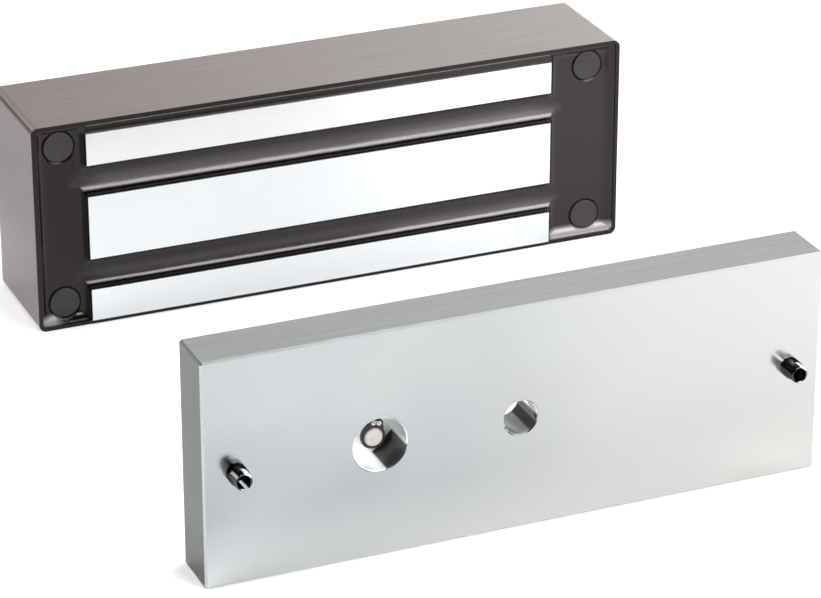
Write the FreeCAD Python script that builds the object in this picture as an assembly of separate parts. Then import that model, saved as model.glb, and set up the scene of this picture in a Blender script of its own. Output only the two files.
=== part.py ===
import FreeCAD, Part
import math
import os

# An electromagnetic lock: a potted magnet for the door frame and the armature plate for the door.
# Both units stand on a long edge, the plate in front of the magnet, as they face each other in use.
# X runs along them to the right, Y from the plate's door side to the magnet's back, Z up.
# Sizes are in millimetres. The origin is on the floor, in the middle of the whole set.

V = FreeCAD.Vector
ALONG_X, ALONG_Y = V(1, 0, 0), V(0, 1, 0)

# Where the two units stand
face_gap = 150.0            # from the plate's contact face to the rim of the magnet's tray
magnet_shift = 8.0          # the magnet's left end lies this far right of the plate's left end

# Drawn tray that houses the magnet
housing_length = 190.0
housing_height = 65.0
housing_depth = 38.0
housing_wall = 1.2
housing_corner_radius = 2.2
housing_back_chamfer = 0.8

# E-shaped lamination stack
core_left_inset = 16.5      # from the tray's left end to the stack
core_right_inset = 23.5
outer_leg_height = 10.0
slot_height = 10.0
top_strip_height = 2.6      # resin between the top leg and the tray
yoke_thickness = 10.0
pole_stand = 0.5            # how far the ground pole faces stand out of the tray

# Bobbin and winding round the centre leg
bobbin_setback = 4.0        # from the tray's rim to the bobbin's front flange
bobbin_wall = 1.0
flange_thickness = 1.2
flange_margin = 0.5         # how far the flanges stand out past the winding
slot_clearance = 1.3        # between the flanges and the outer legs
winding_corner_radius = 6.0

# Cast resin
resin_lip = 0.1             # the resin's highest line, below the tray's rim
meniscus_rise = 2.05        # how far the resin climbs from its level to that line
meniscus_radius = 5.5
channel_step = 0.05         # the channels between the legs are this much shallower than the end pools
strip_dip = 0.25            # depth of the narrow pool above the top leg
strip_radius = 6.0

# Bores for the mounting screws, cast in the resin, and their plugs
left_screw_inset = 8.75     # from the tray's left end to the left pair of screws
right_screw_inset = 10.25
screw_edge_inset = 7.5      # from the tray's top and foot to the screws
screw_hole_radius = 2.75    # in the tray's back, which the screw's head pulls on
screw_bore_radius = 4.5     # room for the head of an M5 cap screw and for its key
plug_rim = 0.2              # how far the plug's cap stands out past the bore
plug_setback = 1.8          # from the tray's rim to the plug's face
plug_thickness = 2.0
plug_gap = 0.2              # open ring between the plug and the resin
spigot_length = 4.0
spigot_clearance = 0.05

# Lead outlet, leads and surge suppressor
outlet_gap = 1.0            # between the stack and the outlet's bush
grommet_radius = 5.0
grommet_length = 7.5
grommet_bore_radius = 2.6
lead_radius = 0.6
lead_spacing = 2.4
suppressor_radius = 4.0
suppressor_thickness = 3.0
suppressor_inset = 6.5      # from the tray's right end to the disc's centre
suppressor_leg_length = 4.0
suppressor_leg_width = 0.8
suppressor_leg_spacing = 5.0

# Armature plate
plate_length = 178.0
plate_height = 65.0
plate_thickness = 16.0
plate_edge_chamfer = 0.6
bolt_hole_radius = 4.8
countersink_radius = 9.0
countersink_depth = 4.0
mouth_chamfer = 0.4

# Guide pins: slotted spring pins, pressed in from the door side
pin_inset = 9.0             # from each end of the plate
pin_radius = 2.8
pin_nose_radius = 2.25      # the nose is turned down, so that it finds its hole
pin_nose_length = 3.0
pin_shoulder_length = 0.5   # slope between the nose and the full width
pin_wall = 0.5              # at the nose
pin_reach = 6.1             # how far the pins stand out of the door side
pin_seat_depth = 10.0
pin_slot_width = 0.9
left_slot_angle = -70.0     # the slot's place round the pin, up from the right
right_slot_angle = 135.0

# Release plunger in its recess
plunger_inset = 49.0        # from the plate's left end
recess_radius = 7.5
recess_depth = 10.2
pocket_depth = 3.6          # pocket for the button in the contact face
guide_radius = 3.3
rod_radius = 2.65
rod_clearance = 0.05        # between the rod and its guide
rod_tip_depth = 4.4         # from the plate's door side down to the rod's end
rod_tip_chamfer = 0.3
groove_setback = 0.55       # from the rod's end to the ring's groove
groove_radius = 2.2
button_radius = 4.0
button_clearance = 0.3      # between the button and its pocket
button_thickness = 2.4
button_chamfer = 0.6
plunger_travel = 1.5        # the button stands out this far and presses in flush

# External retaining ring on the plunger
ring_thickness = 1.0
ring_radius = 3.4
ring_gap = 0.4
ring_seat_gap = 0.05        # between the ring and the end of the guide
ear_radius = 1.2
ear_spacing = 1.5           # between the middles of the two ears
ear_height = 3.9            # from the rod's axis up to the ears
ear_hole_radius = 0.48
ring_turn = 14.0            # the gap leans this far to the right of the top

# Return spring under the button
spring_wire_width = 0.4     # across the coils; the wire is flat
spring_wire_height = 0.3
spring_coil_clearance = 0.35  # between the coils and the rod
spring_turns = 2.0
spring_end_gap = 0.03

# Places that follow from the sizes
air = 5.0                   # how far a cutting shape reaches into the open
plate_left = -(magnet_shift + housing_length) / 2
magnet_left = plate_left + magnet_shift
set_depth = pin_reach + plate_thickness + face_gap + housing_depth
plate_front = pin_reach - set_depth / 2
magnet_front = plate_front + plate_thickness + face_gap

inner_left = housing_wall
inner_right = housing_length - housing_wall
inner_top = housing_height - housing_wall
back_wall_front = housing_depth - housing_wall
core_right = housing_length - core_right_inset
core_floor = housing_wall
lower_slot_floor = core_floor + outer_leg_height
centre_leg_floor = lower_slot_floor + slot_height
core_top = inner_top - top_strip_height
upper_slot_top = core_top - outer_leg_height
centre_leg_top = upper_slot_top - slot_height
yoke_front = back_wall_front - yoke_thickness
winding_build = slot_height - slot_clearance - flange_margin - bobbin_wall
resin_level = resin_lip + meniscus_rise
channel_floor = resin_level - channel_step
channel_depth = channel_floor - resin_lip
channel_radius = (slot_height**2 / 4 + channel_depth**2) / (2 * channel_depth)
pool_overrun = meniscus_radius
meniscus_reach = meniscus_radius - math.sqrt(meniscus_radius**2 - (meniscus_radius - meniscus_rise)**2)

plug_radius = screw_bore_radius + plug_rim
plug_seat = plug_setback + plug_thickness
outlet_x = core_right + outlet_gap + grommet_radius
outlet_z = (centre_leg_floor + centre_leg_top) / 2
grommet_front = housing_depth - grommet_length
winding_front = bobbin_setback + flange_thickness
winding_back = yoke_front - flange_thickness

plate_middle_z = plate_height / 2
pocket_floor = plate_thickness - pocket_depth
groove_front = rod_tip_depth + groove_setback
guide_front = groove_front + ring_thickness + ring_seat_gap
guide_bore_radius = rod_radius + rod_clearance
button_tip = plate_thickness + plunger_travel
button_back = button_tip - button_thickness


def is_along(edge, direction):
    """True for a straight edge that runs along the direction."""
    start, end = edge.Vertexes[0].Point, edge.Vertexes[-1].Point
    run = end - start
    return run.Length > 1e-6 and abs(run.normalize().dot(direction)) > 0.999


def lies_at_y(edge, y):
    """True for an edge that lies wholly in the plane across Y at y."""
    return all(abs(corner.Point.y - y) < 1e-6 for corner in edge.Vertexes)


def block(x_low, x_high, y_low, y_high, z_low, z_high, radius=0.0):
    """A block between two corners, with its four edges along Y rounded."""
    shape = Part.makeBox(x_high - x_low, y_high - y_low, z_high - z_low, V(x_low, y_low, z_low))
    if radius > 0:
        shape = shape.makeFillet(radius, [edge for edge in shape.Edges if is_along(edge, ALONG_Y)])
    return shape


def rod_y(radius, x, z, y_low, y_high):
    """A round bar along Y."""
    return Part.makeCylinder(radius, y_high - y_low, V(x, y_low, z), ALONG_Y)


def turned(outline, x, z):
    """A solid turned about the line along Y through x and z, from (radius, y) points."""
    points = [V(x + radius, y, z) for radius, y in outline]
    face = Part.Face(Part.makePolygon(points + points[:1]))
    return face.revolve(V(x, 0, z), ALONG_Y, 360)


def save(name, shape, left, front):
    """Move a piece from its unit's own corner to its place and write its file."""
    placed = shape.copy()
    placed.translate(V(left, front, 0))
    placed.exportStep("parts/" + name + ".step")


def screw_places():
    """The four mounting screws: a name, x and z for each, from the tray's lower left corner."""
    columns = (("left", left_screw_inset), ("right", housing_length - right_screw_inset))
    rows = (("lower", screw_edge_inset), ("upper", housing_height - screw_edge_inset))
    return [(row + "_" + column, x, z) for row, z in rows for column, x in columns]


def housing():
    """The tray, open at the front, with the screw holes and the lead hole in its back."""
    outside = block(0, housing_length, 0, housing_depth, 0, housing_height, housing_corner_radius)
    back_edges = [edge for edge in outside.Edges if lies_at_y(edge, housing_depth)]
    outside = outside.makeChamfer(housing_back_chamfer, back_edges)
    inside = block(inner_left, inner_right, -air, back_wall_front, housing_wall, inner_top,
                   housing_corner_radius - housing_wall)
    holes = [rod_y(screw_hole_radius, x, z, back_wall_front - air, housing_depth + air)
             for _, x, z in screw_places()]
    holes.append(rod_y(grommet_radius, outlet_x, outlet_z, back_wall_front - air, housing_depth + air))
    return outside.cut([inside] + holes)


def core():
    """The E-shaped stack: three legs that end in the pole faces, on one yoke at the back."""
    front = -pole_stand
    steps = [(front, core_floor), (front, lower_slot_floor), (yoke_front, lower_slot_floor),
             (yoke_front, centre_leg_floor), (front, centre_leg_floor), (front, centre_leg_top),
             (yoke_front, centre_leg_top), (yoke_front, upper_slot_top), (front, upper_slot_top),
             (front, core_top), (back_wall_front, core_top), (back_wall_front, core_floor)]
    points = [V(core_left_inset, y, z) for y, z in steps]
    return Part.Face(Part.makePolygon(points + points[:1])).extrude(ALONG_X * (core_right - core_left_inset))


def round_leg(growth, y_low, y_high, radius):
    """A block that stands out by the growth all round the centre leg."""
    return block(core_left_inset - growth, core_right + growth, y_low, y_high,
                 centre_leg_floor - growth, centre_leg_top + growth, radius)


def bobbin():
    """A tube that fits the centre leg, with a flange at each end."""
    tube = round_leg(bobbin_wall, bobbin_setback, yoke_front, 0)
    flange_growth = bobbin_wall + winding_build + flange_margin
    flange_radius = winding_corner_radius + flange_margin
    front = round_leg(flange_growth, bobbin_setback, bobbin_setback + flange_thickness, flange_radius)
    back = round_leg(flange_growth, yoke_front - flange_thickness, yoke_front, flange_radius)
    leg = round_leg(0, bobbin_setback - air, yoke_front + air, 0)
    lead_holes = [lead_bar(z, winding_back - air, yoke_front + air) for z in lead_heights()]
    return tube.fuse([front, back]).removeSplitter().cut([leg] + lead_holes)


def coil_winding():
    """The wound layers, between the bobbin's flanges."""
    layers = round_leg(bobbin_wall + winding_build, winding_front, winding_back, winding_corner_radius)
    return layers.cut(round_leg(bobbin_wall, winding_front - air, winding_back + air, 0))


def plug(x, z):
    """A round cap with a spigot that pushes into the screw's bore."""
    spigot_radius = screw_bore_radius - spigot_clearance
    outline = [(0, plug_setback), (plug_radius, plug_setback), (plug_radius, plug_seat),
               (spigot_radius, plug_seat), (spigot_radius, plug_seat + spigot_length),
               (0, plug_seat + spigot_length)]
    return turned(outline, x, z)


def lead_grommet():
    """A rubber bush, set in the resin and flush with the tray's back."""
    outline = [(grommet_bore_radius, grommet_front), (grommet_radius, grommet_front),
               (grommet_radius, housing_depth), (grommet_bore_radius, housing_depth)]
    return turned(outline, outlet_x, outlet_z)


def lead_heights():
    """The heights of the winding's two ends, side by side in the outlet."""
    return (outlet_z - lead_spacing / 2, outlet_z + lead_spacing / 2)


def lead_bar(z, y_low, y_high):
    """A stretch of bare lead along Y, on its way to the outlet."""
    return rod_y(lead_radius, outlet_x, z, y_low, y_high)


def coil_lead(z):
    """One end of the winding, through the back flange to the outlet."""
    return lead_bar(z, winding_back, grommet_front)


def surge_suppressor():
    """A disc varistor with two short flat legs."""
    x, z = housing_length - suppressor_inset, outlet_z
    middle = (winding_front + winding_back) / 2
    front = middle - suppressor_thickness / 2
    disc = rod_y(suppressor_radius, x, z, front, front + suppressor_thickness)
    half = suppressor_leg_width / 2
    foot = z - suppressor_radius - suppressor_leg_length
    places = (x - suppressor_leg_spacing / 2, x + suppressor_leg_spacing / 2)
    legs = [block(leg - half, leg + half, middle - half, middle + half, foot, z) for leg in places]
    return disc.fuse(legs)


def end_pool(x_low, x_high):
    """The air above the resin beside the core: a level floor that curves up to every wall."""
    pool = block(x_low - meniscus_reach, x_high + meniscus_reach, -air - meniscus_radius, resin_level,
                 housing_wall - meniscus_reach, inner_top + meniscus_reach)
    return pool.makeFillet(meniscus_radius, [edge for edge in pool.Edges if lies_at_y(edge, resin_level)])


def trough(radius, floor, z_low, z_high):
    """The air above the resin along the core, round from side to side and open to both end pools."""
    start = V(core_left_inset - pool_overrun, floor - radius, (z_low + z_high) / 2)
    return Part.makeCylinder(radius, core_right - core_left_inset + 2 * pool_overrun, start, ALONG_X)


def potting(inner_pieces):
    """The resin that fills the tray round all that lies in it."""
    resin = block(inner_left, inner_right, resin_lip, back_wall_front, housing_wall, inner_top,
                  housing_corner_radius - housing_wall)
    pockets = []
    for _, x, z in screw_places():
        pockets.append(rod_y(plug_radius + plug_gap, x, z, -air, plug_seat))
        pockets.append(rod_y(screw_bore_radius, x, z, plug_seat, housing_depth))
    outlet = rod_y(grommet_bore_radius, outlet_x, outlet_z, grommet_front, housing_depth)
    pools = [end_pool(inner_left, core_left_inset), end_pool(core_right, inner_right),
             trough(channel_radius, channel_floor, lower_slot_floor, centre_leg_floor),
             trough(channel_radius, channel_floor, centre_leg_top, upper_slot_top),
             trough(strip_radius, strip_dip, core_top, inner_top)]
    return resin.cut(inner_pieces + pockets + [outlet]).cut(pools)


def armature_plate():
    """The steel plate with its bolt hole, plunger recess and pin holes."""
    plate = Part.makeBox(plate_length, plate_thickness, plate_height)
    plate = plate.makeChamfer(plate_edge_chamfer, plate.Edges)
    middle = plate_length / 2
    z = plate_middle_z
    bolt_hole = [(0, -air), (bolt_hole_radius + mouth_chamfer + air, -air),
                 (bolt_hole_radius, mouth_chamfer), (bolt_hole_radius, plate_thickness - countersink_depth),
                 (countersink_radius, plate_thickness), (countersink_radius, plate_thickness + air),
                 (0, plate_thickness + air)]
    recess = [(0, -air), (recess_radius + mouth_chamfer + air, -air), (recess_radius, mouth_chamfer),
              (recess_radius, recess_depth), (guide_radius, recess_depth), (guide_radius, pocket_floor),
              (button_radius + button_clearance, pocket_floor),
              (button_radius + button_clearance, plate_thickness + air), (0, plate_thickness + air)]
    pin_places = (pin_inset, plate_length - pin_inset)
    pin_holes = [rod_y(pin_radius, x, z, -air, pin_seat_depth) for x in pin_places]
    return plate.cut([turned(bolt_hole, middle, z), turned(recess, plunger_inset, z)] + pin_holes)


def guide_pin(x, slot_angle):
    """A rolled pin with a narrower nose, open along a slot."""
    nose = -pin_reach
    nose_root = nose + pin_nose_length
    bore_radius = pin_nose_radius - pin_wall
    outline = [(pin_radius, pin_seat_depth), (pin_radius, nose_root + pin_shoulder_length),
               (pin_nose_radius, nose_root), (pin_nose_radius, nose),
               (bore_radius, nose), (bore_radius, pin_seat_depth)]
    slot = Part.makeBox(2 * pin_radius, pin_seat_depth + pin_reach + 2 * air, pin_slot_width,
                        V(x, nose - air, plate_middle_z - pin_slot_width / 2))
    slot.rotate(V(x, 0, plate_middle_z), ALONG_Y, -slot_angle)
    return turned(outline, x, plate_middle_z).cut(slot)


def plunger_guide():
    """The bush that is pressed into the web and stands up in the recess."""
    outline = [(guide_bore_radius, guide_front), (guide_radius, guide_front), (guide_radius, pocket_floor),
               (guide_bore_radius, pocket_floor)]
    return turned(outline, plunger_inset, plate_middle_z)


def release_plunger():
    """The rod with its ring groove and the button that pushes the magnet off."""
    outline = [(0, rod_tip_depth), (rod_radius - rod_tip_chamfer, rod_tip_depth),
               (rod_radius, rod_tip_depth + rod_tip_chamfer), (rod_radius, groove_front),
               (groove_radius, groove_front), (groove_radius, groove_front + ring_thickness),
               (rod_radius, groove_front + ring_thickness), (rod_radius, button_back),
               (button_radius, button_back), (button_radius, button_tip - button_chamfer),
               (button_radius - button_chamfer, button_tip), (0, button_tip)]
    return turned(outline, plunger_inset, plate_middle_z)


def ring_flanks():
    """The straight flanks that run tangent from the ring to its ears, as a closed outline in x and z."""
    side = ear_spacing / 2
    lean = math.atan2(ear_height, side)
    spread = math.acos((ring_radius - ear_radius) / math.hypot(side, ear_height))
    cosine, sine = math.cos(lean - spread), math.sin(lean - spread)
    foot = (ring_radius * cosine, ring_radius * sine)
    shoulder = (side + ear_radius * cosine, ear_height + ear_radius * sine)
    crown = (side, ear_height + ear_radius)
    right = [foot, shoulder, crown]
    return right + [(-x, z) for x, z in reversed(right)]


def retaining_ring():
    """An open ring in the plunger's groove, whose two ears have holes for the pliers."""
    x, z = plunger_inset, plate_middle_z
    low, high = groove_front, groove_front + ring_thickness
    corners = [V(x + across, low, z + up) for across, up in ring_flanks()]
    flanks = Part.Face(Part.makePolygon(corners + corners[:1])).extrude(ALONG_Y * ring_thickness)
    ears = [rod_y(ear_radius, x + side * ear_spacing / 2, z + ear_height, low, high) for side in (-1, 1)]
    outside = rod_y(ring_radius, x, z, low, high).fuse(ears + [flanks]).removeSplitter()
    gap = block(x - ring_gap / 2, x + ring_gap / 2, low - air, high + air, z, z + ear_height + air)
    holes = [rod_y(ear_hole_radius, x + side * ear_spacing / 2, z + ear_height, low - air, high + air)
             for side in (-1, 1)]
    shape = outside.cut([gap, rod_y(groove_radius, x, z, low - air, high + air)] + holes)
    shape.rotate(V(x, 0, z), ALONG_Y, ring_turn)
    return shape


def plunger_spring():
    """A short coil of flat wire between the pocket's floor and the button."""
    inner_radius = rod_radius + spring_coil_clearance
    inset = spring_wire_height / 2 + spring_end_gap
    height = button_back - pocket_floor - 2 * inset
    path = Part.makeHelix(height / spring_turns, height, inner_radius + spring_wire_width / 2)
    half = spring_wire_height / 2
    corners = [V(inner_radius, 0, -half), V(inner_radius + spring_wire_width, 0, -half),
               V(inner_radius + spring_wire_width, 0, half), V(inner_radius, 0, half)]
    section = Part.makePolygon(corners + corners[:1])
    coil = Part.Wire(path).makePipeShell([section], True, True)
    coil.rotate(V(0, 0, 0), ALONG_X, -90)
    coil.translate(V(plunger_inset, pocket_floor + inset, plate_middle_z))
    return coil


def make_magnet():
    """All pieces of the magnet, written in place."""
    pieces = {"core": core(), "bobbin": bobbin(), "coil_winding": coil_winding(),
              "coil_lead_start": coil_lead(lead_heights()[0]),
              "coil_lead_finish": coil_lead(lead_heights()[1]),
              "surge_suppressor": surge_suppressor(), "lead_grommet": lead_grommet()}
    pieces["potting"] = potting(list(pieces.values()))
    pieces["housing"] = housing()
    for name, x, z in screw_places():
        pieces["plug_" + name] = plug(x, z)
    for name, shape in pieces.items():
        save(name, shape, magnet_left, magnet_front)


def make_armature():
    """All pieces of the armature, written in place."""
    pieces = {"armature_plate": armature_plate(),
              "guide_pin_left": guide_pin(pin_inset, left_slot_angle),
              "guide_pin_right": guide_pin(plate_length - pin_inset, right_slot_angle),
              "plunger_guide": plunger_guide(), "release_plunger": release_plunger(),
              "retaining_ring": retaining_ring(), "plunger_spring": plunger_spring()}
    for name, shape in pieces.items():
        save(name, shape, plate_left, plate_front)


os.makedirs("parts", exist_ok=True)
make_magnet()
make_armature()
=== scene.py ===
# %% [markdown]
# # An electromagnetic lock, dressed for the studio
#
# The lock has two units. The magnet is a steel tray full of black resin, with three ground pole bars.
# The armature is a thick steel plate, with two rolled pins, a bolt hole and a small sprung plunger.
# Their shapes come from the CAD model, which is loaded as a fixed frame. This script adds the finer
# pieces, the finishes, the floor, the lights and the camera. Lengths are in metres, as in the frame.

# %% Load the frame
import math

import bpy
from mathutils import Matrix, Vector


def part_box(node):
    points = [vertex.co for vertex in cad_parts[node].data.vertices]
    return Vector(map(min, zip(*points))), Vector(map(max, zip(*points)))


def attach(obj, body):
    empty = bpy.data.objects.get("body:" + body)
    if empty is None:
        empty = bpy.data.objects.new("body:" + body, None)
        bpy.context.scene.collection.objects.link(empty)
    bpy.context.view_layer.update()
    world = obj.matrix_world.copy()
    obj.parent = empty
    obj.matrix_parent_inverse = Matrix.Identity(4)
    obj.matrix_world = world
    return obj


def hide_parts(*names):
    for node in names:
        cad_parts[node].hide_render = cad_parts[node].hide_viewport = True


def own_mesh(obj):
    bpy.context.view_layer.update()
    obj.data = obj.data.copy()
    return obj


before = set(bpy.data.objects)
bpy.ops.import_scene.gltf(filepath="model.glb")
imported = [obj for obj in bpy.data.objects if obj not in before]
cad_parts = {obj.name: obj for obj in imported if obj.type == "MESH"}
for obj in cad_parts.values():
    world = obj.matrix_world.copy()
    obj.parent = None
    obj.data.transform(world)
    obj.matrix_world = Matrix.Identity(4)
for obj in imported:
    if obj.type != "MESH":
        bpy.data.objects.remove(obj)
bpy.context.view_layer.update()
MM = 0.001
QUARTER_TURN = math.pi / 2
HAIR = 0.01 * MM        # how near two places have to be to count as one

# %% [markdown]
# ## Small helpers
#
# Every operator works on what is selected, so nothing may be left selected by accident. The first
# two helpers pick no object, or one alone. The next two pick faces or edges by a test on their place,
# as one would with a box selection. settle bakes an object's place into its mesh, so that the finished
# piece sits at the origin as the CAD nodes do. The last two tell where the middle of a CAD node is,
# and how large a piece came out.

# %% Picking, placing and measuring


def pick_nothing():
    """Leaves nothing selected, as a new primitive needs it."""
    bpy.ops.object.select_all(action="DESELECT")


def pick_only(piece):
    """Leaves one object selected and active, in object mode."""
    pick_nothing()
    piece.select_set(True)
    bpy.context.view_layer.objects.active = piece


def pick_faces(piece, wanted):
    """Enters edit mode with only the faces selected whose centre and normal pass the test."""
    pick_only(piece)
    bpy.ops.object.mode_set(mode="EDIT")
    bpy.ops.mesh.select_mode(type="FACE")
    bpy.ops.mesh.select_all(action="DESELECT")
    bpy.ops.object.mode_set(mode="OBJECT")
    for face in piece.data.polygons:
        face.select = wanted(face.center, face.normal)
    bpy.ops.object.mode_set(mode="EDIT")


def pick_edges(piece, wanted):
    """Enters edit mode with only the edges selected whose two ends pass the test."""
    pick_only(piece)
    bpy.ops.object.mode_set(mode="EDIT")
    bpy.ops.mesh.select_mode(type="EDGE")
    bpy.ops.mesh.select_all(action="DESELECT")
    bpy.ops.object.mode_set(mode="OBJECT")
    points = piece.data.vertices
    for edge in piece.data.edges:
        edge.select = all(wanted(points[i].co) for i in edge.vertices)
    bpy.ops.object.mode_set(mode="EDIT")


def leave_edit():
    """Goes back to object mode."""
    bpy.ops.object.mode_set(mode="OBJECT")


def settle(piece):
    """Moves the piece's place, turn and scale into its mesh."""
    pick_only(piece)
    bpy.ops.object.transform_apply(location=True, rotation=True, scale=True)


def middle_of(node):
    """The X and the Z of the middle of a CAD node."""
    low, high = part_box(node)
    return (low.x + high.x) / 2, (low.z + high.z) / 2


def measured(piece):
    """The piece's size along X, Y and Z in millimetres."""
    places = zip(*(point.co for point in piece.data.vertices))
    return [round((max(values) - min(values)) / MM, 2) for values in places]


print("helpers ready")

# %% [markdown]
# Round bars along Y appear often here. A primitive cylinder stands along Z, so it is turned by a
# quarter about X and settled at once. Its front end, towards the viewer, then has the lowest Y. A
# block stands in where an outline has straight sides.

# %% Bars, blocks and modifiers


def bar_along_y(name, radius, x, z, front, back, sides=96, ends="NGON"):
    """A round bar between two Y places."""
    pick_nothing()
    bpy.ops.mesh.primitive_cylinder_add(
        vertices=sides, radius=radius, depth=back - front, end_fill_type=ends,
        location=(x, (front + back) / 2, z), rotation=(QUARTER_TURN, 0, 0))
    piece = bpy.context.object
    piece.name = name
    settle(piece)
    return piece


def block(name, middle, size):
    """A square block round a place."""
    pick_nothing()
    bpy.ops.mesh.primitive_cube_add(size=1, location=middle, scale=size)
    piece = bpy.context.object
    piece.name = name
    settle(piece)
    return piece


def apply_modifier(piece, kind, **settings):
    """Adds a modifier with its settings and applies it."""
    pick_only(piece)
    modifier = piece.modifiers.new(kind.title(), kind)
    for setting, value in settings.items():
        setattr(modifier, setting, value)
    bpy.ops.object.modifier_apply(modifier=modifier.name)


def rounded_edges(piece, width, from_angle):
    """Rounds the edges that are sharper than an angle in degrees."""
    apply_modifier(piece, "BEVEL", width=width, segments=3, limit_method="ANGLE",
                   angle_limit=math.radians(from_angle))


def join_or_cut(piece, tool, operation):
    """Adds the tool's shape to the piece or takes it away, and deletes the tool."""
    apply_modifier(piece, "BOOLEAN", operation=operation, solver="EXACT", object=tool)
    bpy.data.objects.remove(tool)


def smooth(piece, angle):
    """Smooth shading that keeps the edges past an angle in degrees."""
    pick_only(piece)
    bpy.ops.object.shade_smooth_by_angle(angle=math.radians(angle))


print("bars, blocks and modifiers ready")

# %% [markdown]
# ## The tamper plugs
#
# Each screw bore is closed by a moulded plug: a flat cap with a softly rounded rim, and a spigot that
# pushes into the bore. A plain disc would look stamped. So the cap gets a bevelled rim and a shallow
# dished face, as moulded parts have where the plastic shrinks. The spigot is extruded from the back.
# One plug is modelled, and the other three are copies of it.

# %% The first plug
CAP_DEPTH = 2.0 * MM
CAP_STEP = 0.2 * MM             # how far the cap stands over the spigot
CAP_ROUNDING = 0.3 * MM
DISH_STEP, DISH_DEPTH = 0.5 * MM, 0.05 * MM

plug_low, plug_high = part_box("plug_lower_left")
plug_radius = (plug_high.x - plug_low.x) / 2
plug_x, plug_z = middle_of("plug_lower_left")
cap_back = plug_low.y + CAP_DEPTH

first_plug = bar_along_y("cap_lower_left", plug_radius, plug_x, plug_z, plug_low.y, cap_back)
pick_faces(first_plug, lambda centre, normal: normal.y > 0.9)
bpy.ops.mesh.inset(thickness=CAP_STEP)
bpy.ops.mesh.extrude_region_move(TRANSFORM_OT_translate={"value": (0, plug_high.y - cap_back, 0)})
leave_edit()
pick_edges(first_plug, lambda point: point.y < plug_low.y + HAIR)
bpy.ops.mesh.bevel(offset=CAP_ROUNDING, segments=5, affect="EDGES")
leave_edit()
pick_faces(first_plug, lambda centre, normal: normal.y < -0.99 and centre.y < plug_low.y + HAIR)
bpy.ops.mesh.inset(thickness=DISH_STEP)
bpy.ops.mesh.inset(thickness=DISH_STEP)
bpy.ops.transform.translate(value=(0, DISH_DEPTH, 0))
leave_edit()
smooth(first_plug, 50)
print("plug measures", measured(first_plug), "mm, faces", len(first_plug.data.polygons))

# %% Its three copies
plug_caps = {"plug_lower_left": first_plug}
for corner in ("lower_right", "upper_left", "upper_right"):
    x, z = middle_of("plug_" + corner)
    copy = first_plug.copy()
    copy.data = first_plug.data.copy()
    copy.name = "cap_" + corner
    bpy.context.scene.collection.objects.link(copy)
    copy.location = (x - plug_x, 0, z - plug_z)
    settle(copy)
    plug_caps["plug_" + corner] = copy
for node, cap in plug_caps.items():
    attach(cap, "lock")
    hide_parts(node)
print("plugs:", sorted(cap.name for cap in plug_caps.values()))

# %% [markdown]
# ## The rolled guide pins
#
# A spring pin is a strip of steel rolled into a tube that stays open along one slot. Its nose is
# turned down, so that it finds its hole in the door. The way here is close to that of the real one: an
# open tube without ends, whose front edge is extruded and drawn in step by step. The steps make the
# shoulder, the slimmer nose and a last small chamfer. Then the slot is cut out of the sheet, and only
# after that the sheet gets its wall and its rounded edges.

# %% One pin, with its slot to the right
PIN_WALL = 0.45 * MM
PIN_SLOT = 0.95 * MM
NOSE_LENGTH = 3.5 * MM      # from the pin's end back to the foot of its shoulder
NOSE_RADIUS = 2.4 * MM
SHOULDER_LENGTH = 0.5 * MM
END_CHAMFER = 0.3 * MM
FINE_ROUNDING = 0.07 * MM   # of the pins' and the ring's edges


def rolled_pin(name, node, slot_angle):
    """A slotted pin with a turned-down nose, in the place of a CAD pin."""
    low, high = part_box(node)
    (x, z), radius = middle_of(node), (high.x - low.x) / 2
    front = low.y + NOSE_LENGTH
    pin = bar_along_y(name, radius, x, z, front, high.y, sides=120, ends="NOTHING")
    straight = NOSE_LENGTH - SHOULDER_LENGTH - END_CHAMFER
    steps = ((SHOULDER_LENGTH, NOSE_RADIUS), (straight, NOSE_RADIUS),
             (END_CHAMFER, NOSE_RADIUS - END_CHAMFER / 2))
    for length, wanted in steps:
        pick_edges(pin, lambda point: point.y < front + HAIR)
        bpy.ops.mesh.extrude_edges_move(TRANSFORM_OT_translate={"value": (0, -length, 0)})
        draw = wanted / radius
        bpy.ops.transform.resize(value=(draw, 1, draw), center_override=(x, front - length, z))
        leave_edit()
        front, radius = front - length, wanted
    for side in (-1, 1):
        pick_faces(pin, lambda centre, normal: True)
        bpy.ops.mesh.bisect(plane_co=(x, 0, z + side * PIN_SLOT / 2), plane_no=(0, 0, 1))
        leave_edit()
    pick_faces(pin, lambda centre, normal: centre.x > x and abs(centre.z - z) < PIN_SLOT / 2)
    bpy.ops.mesh.delete(type="FACE")
    bpy.ops.mesh.select_all(action="SELECT")
    bpy.ops.transform.rotate(value=math.radians(slot_angle), orient_axis="Y", center_override=(x, 0, z))
    leave_edit()
    apply_modifier(pin, "SOLIDIFY", thickness=PIN_WALL, offset=-1.0, use_even_offset=True)
    rounded_edges(pin, FINE_ROUNDING, 50)
    smooth(pin, 40)
    return pin


# %% Both pins
SLOT_ANGLES = {"left": -70, "right": 135}       # each pin was pressed in as it came
pins = {}
for side, angle in SLOT_ANGLES.items():
    node = "guide_pin_" + side
    pins[node] = rolled_pin("rolled_pin_" + side, node, angle)
for node, pin in pins.items():
    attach(pin, "lock")
    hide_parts(node)
    print(pin.name, "measures", measured(pin), "mm")

# %% [markdown]
# ## The retaining ring
#
# The black ring that holds the plunger is punched from sheet. Its outline is a circle that runs out
# into two ears with a hole each, for the pliers. Round bars and a tapered block are joined into that
# outline, and the bore, the gap and the ear holes are cut from it. The punch leaves softly rounded
# edges, so a fine bevel comes last. The bevel also gives the thin lights that make black metal read.

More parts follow.
